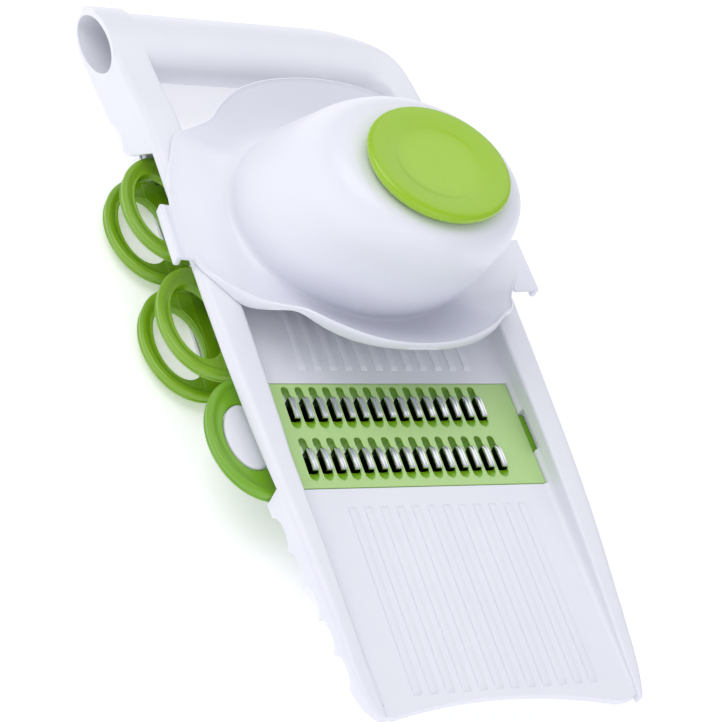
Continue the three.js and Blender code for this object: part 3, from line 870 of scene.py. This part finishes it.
@dataclass
class Guard:
    """The hat-shaped hand guard with its wavy brim and two ears."""

    shop: Workshop
    finish: Finish
    middle: float = 2.0
    foot_y: float = 202.8
    foot_z: float = 10.8
    top_y: float = 175.7
    top_z: float = 70.9
    brim_y: float = 198.0
    wall: float = 2.4
    hole: float = 11.0
    around: int = 180
    dome: tuple[Pair, ...] = (
        (14.5, 46.4), (18, 47.0), (26, 47.0), (36, 45.2), (47, 43.2), (55.5, 41.5), (63.5, 38.4),
        (67.4, 35.8), (69.6, 33.2), (70.6, 31.2),
    )
    edge: tuple[Point, ...] = (
        (90, 70.2, 22.5), (116, 70.2, 22), (128, 68.5, 20.5), (134, 67.8, 17.5),
        (138, 72.5, 13), (142, 75, 11.6), (149, 72.8, 11.2), (160, 71.3, 11.2),
        (180, 69.5, 11.2), (194.5, 68, 11.2), (202, 65.8, 11.8), (210, 64.6, 14.2),
        (217.5, 65.3, 18.2), (224, 65.4, 22.5), (231, 64.8, 26.2), (240, 66.3, 28),
        (256, 67.2, 28), (270, 67.2, 28),
    )
    skirt: tuple[Pair, ...] = (
        (90, 2.2), (120, 2.2), (134, 1.6), (142, 1.4), (150, 1.4), (190, 1.4), (197, 1.9),
        (206, 4.2), (214, 5.2), (222, 3.4), (228, 1.8), (236, 3.6), (246, 4.4), (258, 3.4),
        (270, 2.6),
    )

    def mirrored(self, degrees: float) -> float:
        """Returns the same place on the left half, between 90 and 270 degrees."""
        turned = degrees % 360
        return (540 - turned) % 360 if turned < 90 or turned > 270 else turned

    def dome_point(self, radius: float, z: float, degrees: float) -> Vector:
        """Returns a point of the dome's level ring."""
        climb = max((z - self.foot_z) / (self.top_z - self.foot_z), 0)
        a = math.radians(degrees)
        return Vector((
            self.middle + radius * math.cos(a),
            lerp(self.foot_y, self.top_y, climb) + radius * math.sin(a), z))

    def rim_point(self, degrees: float) -> Vector:
        """Returns a point of the brim's edge."""
        left = self.mirrored(degrees)
        radius = smooth_between([(a, r) for a, r, _ in self.edge], left)
        height = smooth_between([(a, z) for a, _, z in self.edge], left)
        a = math.radians(degrees)
        return Vector((
            self.middle + radius * math.cos(a), self.brim_y + radius * math.sin(a), height))

    def ring(self, point: Callable[[float], Vector]) -> list[Point]:
        """Draws one ring round the guard."""
        return [tuple(point(360 * i / self.around)) for i in range(self.around)]

    def brim_ring(self, share: float, lift: float) -> list[Point]:
        """Draws a ring on the brim, a share of the way out and lifted off the straight line."""
        def point(degrees: float) -> Vector:
            foot = self.dome_point(46.6, self.foot_z, degrees)
            spot = foot.lerp(self.rim_point(degrees), share)
            over = min(max((abs(spot.x) - 44) / 6.5, 0), 1)
            spot.z = max(spot.z + lift, lerp(8.2, 9.7, over) + (1.2 if lift > -2.2 else 0))
            return spot
        return self.ring(point)

    def skirt_ring(self, depth: float, out: float) -> list[Point]:
        """Draws a ring on the skirt, a share of its depth down and moved outwards."""
        def point(degrees: float) -> Vector:
            rim = self.rim_point(degrees)
            drop = smooth_between(self.skirt, self.mirrored(degrees))
            away = Vector((rim.x - self.middle, rim.y - self.brim_y, 0)).normalized()
            spot = rim + away * out
            spot.z = max(rim.z - drop * depth, 9.7)
            return spot
        return self.ring(point)

    def shell(self) -> Solid:
        """Builds the closed wall of the guard."""
        rings = [self.ring(lambda d: self.dome_point(self.hole, self.top_z, d))]
        for radius in (18, 25, 29):
            rings.append(self.ring(lambda d, r=radius: self.dome_point(r, self.top_z, d)))
        for z in reversed(steps(14.5, 70.6, 26)):
            rings.append(self.ring(
                lambda d, h=z: self.dome_point(smooth_between(self.dome, h), h, d)))
        for radius, z in ((46.3, 13.2), (46.5, 12.2), (47.1, 11.3)):
            rings.append(self.ring(lambda d, r=radius, h=z: self.dome_point(r, h, d)))
        for share, lift in ((0.08, -0.5), (0.2, -1.4), (0.4, -1.9), (0.6, -1.7), (0.8, -0.9),
                            (0.92, -0.2), (0.97, 0.1)):
            rings.append(self.brim_ring(share, lift))
        for depth, out in ((-0.12, -0.4), (0.0, 0.25), (0.25, 0.35), (0.9, 0.5), (1.0, 0.2),
                           (1.0, -0.9)):
            rings.append(self.skirt_ring(depth, out))
        for share, lift in ((0.95, -2.3), (0.8, -2.8), (0.6, -3.4), (0.4, -3.5), (0.2, -3.0)):
            rings.append(self.brim_ring(share, lift))
        rings.append(self.ring(lambda d: self.dome_point(46.0, 9.75, d)))
        rings.append(self.ring(lambda d: self.dome_point(44.6, 11.5, d)))
        for z in steps(14.5, 66.0, 16):
            rings.append(self.ring(lambda d, h=z: self.dome_point(
                smooth_between(self.dome, h) - self.wall, h, d)))
        rings.append(self.ring(lambda d: self.dome_point(30.5, 67.8, d)))
        rings.append(self.ring(lambda d: self.dome_point(26.0, self.top_z - self.wall, d)))
        rings.append(self.ring(lambda d: self.dome_point(self.hole, self.top_z - self.wall, d)))
        return Solid().loft(rings, closed=True)

    def ear(self, x0: float, x1: float, y0: float, y1: float) -> Solid:
        """Builds an ear that hooks over a rail."""
        outer = x0 if abs(x0) > abs(x1) else x1
        inner = outer - math.copysign(self.wall, outer)
        flat = Solid().block((x0, y0, 9.9), (x1, y1, 11.55), 0.75)
        for vert in flat.bm.verts:
            if vert.co.z > 10.6:
                vert.co.z -= 1.1 * abs(vert.co.x - outer) / (x1 - x0)
        drop = Solid().block((min(inner, outer), y0, 7), (max(inner, outer), y1, 11.55), 0.75)
        return flat.join(drop)

    def make(self) -> None:
        """Builds the guard."""
        guard = self.shell()
        for box in ((-72.5, -62, 183, 209), (64, 74.5, 172, 198)):
            guard = guard.join(self.ear(*box))
        self.shop.piece(
            "guard_hat", guard, self.finish, "hand_guard", "guard_plastic", ["guard_shell"],
            sharp=50)


@dataclass
class Pusher:
    """The food pusher: palm knob, stem, pin plate and its screw."""

    shop: Workshop
    knob_finish: Finish
    white: Finish
    steel: Finish
    axis: Pair = (2.0, 173.0)
    plate_axis: Pair = (2.0, 195.5)

    def make(self) -> None:
        """Builds the pusher's four pieces."""
        knob = Solid().turned((
            (0, 71.2), (20, 71.2), (23.4, 71.3), (25.0, 71.9), (26.2, 73.2), (26.85, 74.6),
            (27.0, 75.4), (26.8, 76.1), (26.2, 76.6), (25.2, 76.9), (24.2, 77.0), (22.6, 76.9),
            (20.4, 76.7), (18.6, 76.45), (17.6, 76.3), (16.8, 76.1), (16.0, 75.85), (14.6, 75.7),
            (10, 75.5), (5, 75.42), (0, 75.4),
        ), self.axis, 128)
        self.shop.piece("palm_knob", knob, self.knob_finish, "food_pusher", "lime_plastic",
                        ["pusher_knob"])
        stem = Solid().turned((
            (0, 16.35), (6.4, 16.35), (7, 17), (7, 69.8), (6.2, 70.85), (0, 70.85),
        ), self.axis, 48)
        self.shop.piece("knob_stem", stem, self.white, "food_pusher", "white_plastic",
                        ["pusher_stem"])
        plate = Solid().turned((
            (0, 14), (30.2, 14), (31, 14.5), (31, 15.5), (30.4, 16), (27.5, 16), (27, 15.6),
            (25, 15.6), (24.5, 16), (0, 16),
        ), self.plate_axis, 96)
        for count, radius in ((5, 10), (10, 24)):
            for i in range(count):
                a = 2 * math.pi * i / count
                spot = (self.plate_axis[0] + radius * math.cos(a),
                        self.plate_axis[1] + radius * math.sin(a))
                plate = plate.join(Solid().turned((
                    (0, 5.5), (0.35, 5.8), (1.0, 10), (1.25, 13), (2.0, 14.3), (0, 14.6),
                ), spot, 12))
        self.shop.piece("pin_disc", plate, self.white, "food_pusher", "white_plastic",
                        ["pin_plate"])
        screw = Solid().turned((
            (0, 12.2), (1.8, 12.0), (2.8, 12.3), (3.4, 12.9), (3.4, 13.7), (1.5, 13.7),
            (1.5, 15.5), (0, 15.5),
        ), self.axis, 32)
        for size in ((3.6, 0.7), (0.7, 3.6)):
            x, y = self.axis
            screw = screw.cut(Solid().block(
                (x - size[0] / 2, y - size[1] / 2, 11), (x + size[0] / 2, y + size[1] / 2, 12.9)))
        self.shop.piece("plate_screw", screw, self.steel, "food_pusher", "screw_steel",
                        ["pin_plate_screw"])


class Top(Enum):
    """What an insert carries on its plate."""

    GRATER = "grater"
    SLICER = "slicer"
    SHEET = "sheet"


@dataclass
class Insert:
    """One insert: a plate with stepped tongues and a finger loop."""

    shop: Workshop
    finish: Finish
    name: str
    body: str
    slot: str
    node: str
    top: Top
    shift: Point
    blade_rise: float = 0.4
    loop_x: float = -56.0
    reach: float = 19.0
    half: float = 25.75

    def hole(self) -> Pair:
        """Returns the half sizes of the hole in the loop."""
        return (8.5, 14) if self.top is Top.GRATER else (9, 17)

    def loop(self) -> Solid:
        """Builds the finger loop with its rolled rim."""
        bottom, top = -4.3, 0.2
        a, b = self.hole()
        rings = []

        def oval(centre: float, half_x: float, half_y: float, z: float) -> None:
            rings.append([
                (x, y, z) for x, y in ellipse((centre, 0), (half_x, half_y), 96)])

        for inset, z in ((1.0, bottom), (0.35, bottom + 0.35), (0, bottom + 0.9),
                         (0, bottom + 1.3), (0.35, bottom + 1.6), (0.35, top - 1.6),
                         (0, top - 1.3), (0, top - 0.8), (0.3, top - 0.25), (0.9, top)):
            oval(self.loop_x, self.reach - inset, self.half - inset, z)
        for in_x, in_y, drop in ((2.2, 2.4, 0.05), (2.9, 3.1, 0.35), (3.5, 3.7, 0.75),
                                 (4.1, 4.6, 0.92)):
            oval(self.loop_x, self.reach - in_x, self.half - in_y, top - drop)
        for out, z in ((1.3, top - 0.98), (0.75, top - 0.86), (0.3, top - 0.95),
                       (0.05, top - 1.3), (0, top - 1.6), (0, bottom + 1.0),
                       (0.3, bottom + 0.3), (0.9, bottom + 0.07)):
            oval(HOLE_X, a + out, b + out, z)
        ring = Solid().loft(rings, closed=True)
        return ring.keep(Solid().block((-90, -40, -10), (-50.2, 40, 10)))

    def blank(self) -> Solid:
        """Builds the plate with its tongues, tail and loop."""
        mid = Solid().block((-50.6, -22.7, -4), (50.6, 22.7, 0), 0.35)
        wide = Solid().block((-50.6, -25.25, -4), (50.6, 25.25, -2.8), 0.3)
        tail = Solid().block((48, -8.5, -4), (53.5, 8.5, -0.5), 0.6)
        plate = mid.join(wide).join(tail)
        a, b = self.hole()
        for half, top in ((22.7, -0.05), (25.25, -2.6)):
            root = Solid().block((-56, -half, -4), (-49.5, half, top), 0.2)
            hole = Solid().prism(ellipse((HOLE_X, 0), (a + 0.4, b + 0.4), 64), -9, 9)
            plate = plate.join(root.cut(hole))
        return plate.join(self.loop())

    def slots(self) -> Solid:
        """Builds the holes under the grater's teeth, round at their far end."""
        cuts = Solid()
        for row in TOOTH_ROWS:
            for i in range(TOOTH_COUNT):
                x = TOOTH_FIRST + i * TOOTH_PITCH
                rings = []
                far = row + 9.6
                arc = [
                    (x - 0.35 + 1.45 * math.cos(a), far - 1.45 + 1.45 * math.sin(a))
                    for a in steps(0, math.pi, 9)
                ]
                left = [(x - 1.8, row + 5.6), (x - 2.05, row + 4.6), (x - 2.05, row - 4.9)]
                right = [(x + 2.0, row - 4.9), (x + 2.0, row + 4.6), (x + 1.2, row + 5.6)]
                for near, z in ((row - 9.6, 0.6), (row - 9.5, 0.02), (row - 7.7, -0.45),
                                (row - 5.25, -1.05), (row - 5.1, -4.6)):
                    tip = [
                        (x - 1.9, min(near + 2.2, row - 4.95)),
                        (x - 1.3, min(near + 0.8, row - 5.0)), (x, near),
                        (x + 1.3, min(near + 0.8, row - 5.0)),
                        (x + 1.9, min(near + 2.2, row - 4.95))]
                    rings.append([(px, py, z) for px, py in arc + left + tip + right])
                cuts.loft(rings)
        return cuts

    def make(self) -> None:
        """Builds the insert's plate."""
        plate = self.blank()
        if self.top is Top.GRATER:
            plate = plate.cut(self.slots())
        elif self.top is Top.SLICER:
            plate = plate.cut(Solid().block((-41.2, -5, -9), (41.2, 9, 9)))
            for side in (-1, 1):
                low, high = sorted((side * 41, side * 46))
                plate = plate.join(Solid().block(
                    (low, 1, -1), (high, 13, self.blade_rise - 0.3), 0.2))
        else:
            plate = plate.cut(Solid().block((-44.3, -18.3, -1.1), (44.3, 18.3, 9)))
            plate = plate.cut(Solid().block((-40, -15, -9), (40, 15, 9)))
        self.shop.piece(self.name, plate.lifted(*self.shift), self.finish, self.body, self.slot,
                        [self.node], sharp=40)


@dataclass
class GraterTeeth:
    """The two rows of steel hoops that stand in the grater's slots."""

    shop: Workshop
    steel: Finish

    def row(self, row: float) -> Solid:
        """Builds one row of hoops on its strip."""
        last = TOOTH_FIRST + (TOOTH_COUNT - 1) * TOOTH_PITCH
        strip = Solid().block(
            (TOOTH_FIRST - 2.4, row - 4.8, -5.1), (last + 2.4, row + 4.4, -4.35), 0.15, 2)
        for i in range(TOOTH_COUNT):
            strip = strip.join(self.hoop(TOOTH_FIRST + i * TOOTH_PITCH, row))
        return strip.lifted(0, INSERT_Y, 0)

    def hoop(self, x: float, row: float) -> Solid:
        """Builds one hoop, a bent strip with a round back."""
        def section(rise: float, half: float, thick: float) -> list[Pair]:
            back = [(1.0, -0.9), (0.96, -0.35), (0.8, -0.06), (0.5, 0.0), (0.24, -0.05),
                    (0.1, -0.32), (-0.1, -0.32), (-0.24, -0.05), (-0.5, 0.0), (-0.8, -0.06),
                    (-0.96, -0.35), (-1.0, -0.9)]
            outer = [(half * px, rise + pz) for px, pz in back]
            inner = [((half - thick) * px, rise - 0.75 + pz * 0.3) for px, pz in reversed(back)]
            return [(half, -4.6)] + outer + [(-half, -4.6), (-half + thick, -4.6)] + inner + [
                (half - thick, -4.6)]
        rings = []
        for y, rise in ((row - 4.8, 1.3), (row - 4.2, 1.55), (row, 1.6), (row + 2.6, 1.5),
                        (row + 4.4, 0.9)):
            rings.append([(x + 0.75 + px, y, pz) for px, pz in section(rise, 1.15, 0.3)])
        return Solid().loft(rings)

    def make(self) -> None:
        """Builds both rows."""
        names = (("rear_tooth_row", "grater_rear_teeth"), ("front_tooth_row", "grater_front_teeth"))
        for row, (name, node) in zip(TOOTH_ROWS, names):
            self.shop.piece(name, self.row(row), self.steel, "grater_insert", "blade_steel",
                            [node], sharp=45)


@dataclass
class LoopPlug:
    """The white oval that closes the hole in the grater's loop."""

    shop: Workshop
    white: Finish

    def make(self) -> None:
        """Builds the plug with a slightly crowned face."""
        rings = []
        for inset, z in ((0.6, -3.6), (0.1, -3.2), (0.0, -0.9), (0.15, -0.45), (0.6, -0.2),
                         (1.4, -0.12), (3.0, -0.05), (5.0, 0.0)):
            rings.append([
                (x, y + INSERT_Y, z)
                for x, y in ellipse((HOLE_X, 0), (8.2 - inset, 13.7 - inset), 72)])
        self.shop.piece("loop_oval", Solid().loft(rings), self.white, "grater_insert",
                        "white_plastic", ["grater_loop_plug"], sharp=50)


# ---------------------------------------------------------------------- camera and light


@dataclass
class Studio:
    """Camera, soft lights and the pale floor."""

    origin: Vector

    def camera(self) -> None:
        """Puts the camera over the left of the toe."""
        data = bpy.data.cameras.new("camera")
        data.sensor_width = 36.0
        data.lens = 109.6
        data.clip_start, data.clip_end = 0.05, 20.0
        camera = bpy.data.objects.new("camera", data)
        bpy.context.scene.collection.objects.link(camera)
        look = Vector((0.4675, 0.5572, -0.6863)).normalized()
        up = Vector((-0.0055, 0.7782, 0.628))
        up = (up - look * up.dot(look)).normalized()
        right = look.cross(up)
        turn = Matrix((right, up, -look)).transposed().to_4x4()
        place = self.origin + Vector((-377.2, -296.1, 544.4)) * MM
        camera.matrix_world = Matrix.Translation(place) @ turn
        bpy.context.scene.camera = camera

    def lamp(self, name: str, spot: Point, size: float, power: float, colour: Colour) -> None:
        """Adds one square soft light that looks at the middle of the slicer."""
        data = bpy.data.lights.new(name, "AREA")
        data.shape = "SQUARE"
        data.size = size
        data.energy = power
        data.color = colour
        lamp = bpy.data.objects.new(name, data)
        bpy.context.scene.collection.objects.link(lamp)
        lamp.location = spot
        aim = Vector((0, 0, 0.03)) - Vector(spot)
        lamp.rotation_mode = "QUATERNION"
        lamp.rotation_quaternion = aim.to_track_quat("-Z", "Y")

    def light(self) -> None:
        """Adds the lights and the world."""
        self.lamp("key", (-0.9, 0.6, 1.5), 1.4, 12, (1.0, 0.99, 0.98))
        self.lamp("fill", (-0.4, -1.5, 1.0), 1.8, 8, (0.96, 0.96, 1.0))
        self.lamp("back", (0.95, 1.13, 1.4), 1.6, 5, (1.0, 1.0, 1.0))
        world = bpy.data.worlds.new("studio")
        bpy.context.scene.world = world
        world.use_nodes = True
        back = world.node_tree.nodes["Background"]
        back.inputs["Color"].default_value = (0.93, 0.94, 1.0, 1)
        back.inputs["Strength"].default_value = 0.59
        bpy.context.scene.view_settings.view_transform = "Standard"

    def floor(self) -> None:
        """Lays the pale floor."""
        bm = bmesh.new()
        bmesh.ops.create_grid(bm, x_segments=4, y_segments=4, size=3.0)
        data = bpy.data.meshes.new("floor")
        bm.to_mesh(data)
        bm.free()
        floor = bpy.data.objects.new("floor", data)
        bpy.context.scene.collection.objects.link(floor)
        finish = Finish("floor_paper")
        cloud = finish.noise(finish.place(), 3, 2)
        finish.dress(
            Base_Color=finish.blend(cloud, (0.93, 0.93, 0.94), (0.91, 0.91, 0.93)),
            Roughness=0.7, Emission_Color=(1, 1, 1), Emission_Strength=0.3)
        data.materials.append(finish.material)

    def make(self) -> None:
        """Sets up the whole studio."""
        self.camera()
        self.light()
        self.floor()


@dataclass
class CarriedOver:
    """CAD nodes that keep their shape and get a finish."""

    finishes: dict[str, Finish]
    nodes: dict[str, bpy.types.Object]

    def make(self) -> None:
        """Dresses each node."""
        for name, finish in self.finishes.items():
            data = self.nodes[name].data
            data.materials.clear()
            data.materials.append(finish.material)
            LOG.info("%s dressed", name)


def design_origin() -> Vector:
    """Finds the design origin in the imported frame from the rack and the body."""
    rack_low, rack_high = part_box("storage_rack")
    body_low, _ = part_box("body_frame")
    return Vector(((rack_low.x + rack_high.x) / 2, body_low.y, rack_low.z + 27 * MM))


def main() -> None:
    """Builds every piece in order."""
    logging.basicConfig(level=logging.INFO, format="%(name)s %(message)s")
    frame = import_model()
    origin = design_origin()
    shop = Workshop(origin)
    white = MouldedPlastic("white_plastic", (0.84, 0.85, 0.90), (0.81, 0.82, 0.88), 0.34).made()
    guard = MouldedPlastic("guard_plastic", (0.84, 0.85, 0.91), (0.81, 0.82, 0.89), 0.32).made()
    leaf = MouldedPlastic("leaf_plastic", (0.24, 0.47, 0.010), (0.19, 0.39, 0.008), 0.25,
                          coat=0.3).made()
    # The first green is the painted reflection on the plate's top; the second is the plastic's own
    # deep green.
    grater = GraterPlastic(
        "grater_plastic", (0.48, 0.71, 0.28), (0.18, 0.42, 0.008), origin.z,
        origin.x - 50 * MM).made()
    teeth = ToothSteel(
        "tooth_steel", (0.86, 0.87, 0.90), (0.012, 0.012, 0.010), origin.z + 0.9 * MM).made()
    knob = KnobPlastic("knob_plastic", (0.32, 0.56, 0.005), (0.37, 0.62, 0.03),
                       origin + Vector((2, 173, 76)) * MM).made()
    steel = BrushedSteel("blade_steel", (0.78, 0.79, 0.81)).made()
    screw = BrushedSteel("screw_steel", (0.62, 0.63, 0.65), 0.32).made()
    Studio(origin).make()
    Body(shop, white).make()
    Guard(shop, guard).make()
    Pusher(shop, knob, white, screw).make()
    Insert(shop, grater, "grater_plate", "grater_insert", "grater_plastic", "grater_carrier",
           Top.GRATER, (0, INSERT_Y, 0)).make()
    GraterTeeth(shop, teeth).make()
    LoopPlug(shop, white).make()
    for name, body, node, top, shift, rise in (
        ("thin_slicer_plate", "thin_slicer_insert", "thin_slicer_carrier", Top.SLICER,
         (-4, 170, -19), 0.4),
        ("fine_grater_plate", "fine_grater_insert", "fine_grater_carrier", Top.SHEET,
         (-4, 225, -19), 0.0),
        ("thick_slicer_plate", "thick_slicer_insert", "thick_slicer_carrier", Top.SLICER,
         (-1, 170, -7), 2.4),
        ("julienne_plate", "julienne_insert", "julienne_carrier", Top.SLICER,
         (-1, 225, -7), 0.9),
    ):
        Insert(shop, leaf, name, body, "green_plastic", node, top, shift, rise).make()
    carried = {name: steel for name in (
        "thin_slicer_blade", "thick_slicer_blade", "fine_grater_sheet", "julienne_blade",
        "julienne_comb")}
    carried["storage_rack"] = white
    carried.update({f"rack_screw_{i}": screw for i in range(1, 5)})
    CarriedOver(carried, frame["nodes"]).make()


if __name__ == "__main__":
    main()
